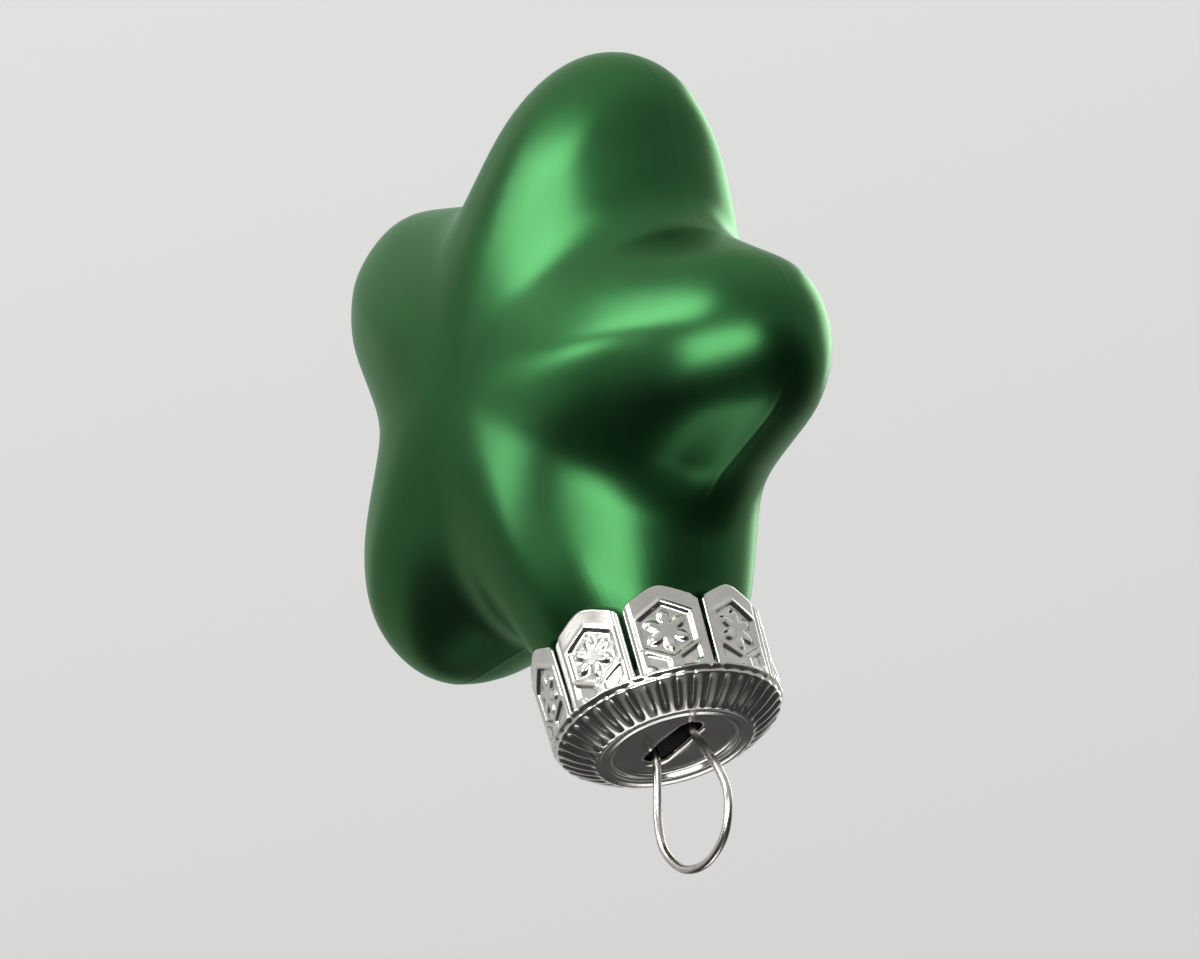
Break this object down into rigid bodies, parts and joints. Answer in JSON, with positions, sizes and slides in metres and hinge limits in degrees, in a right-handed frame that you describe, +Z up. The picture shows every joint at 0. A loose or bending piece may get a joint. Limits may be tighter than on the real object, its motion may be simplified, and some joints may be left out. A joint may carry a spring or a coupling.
{
  "type": "glass star ornament",
  "caption": "Puffed hollow glass star tree ornament in satin green, with a fluted and tabbed metal crown cap that lifts off and a sliding wire loop to hang it by.",
  "frame": {"origin": "inside top of the hanger's wire loop, where a hook or thread bears", "axes": "+Z up along the neck of the star as it hangs, -Y the front face of the star, +X to the right seen from the front; the loop lies in the XZ plane"},
  "size_m": [0.0402, 0.02, 0.0493],
  "materials": {
    "lacquered_glass": "silvered inside, satin translucent green lacquer outside",
    "stamped_cap": "bright stamped sheet",
    "hanger_wire": "bright drawn wire"
  },
  "bodies": {
    "star": {"glass_star": "lacquered_glass"},
    "cap": {"cap": "stamped_cap"},
    "hanger": {"wire_hanger": "hanger_wire"}
  },
  "joints": [
    {"name": "cap_pull", "type": "slide", "parent": "star", "child": "cap", "axis": [0, 0, 1], "range_m": [0, 0.012]},
    {"name": "hanger_lift", "type": "slide", "parent": "cap", "child": "hanger", "axis": [0, 0, 1], "range_m": [0, 0.003]}
  ]
}
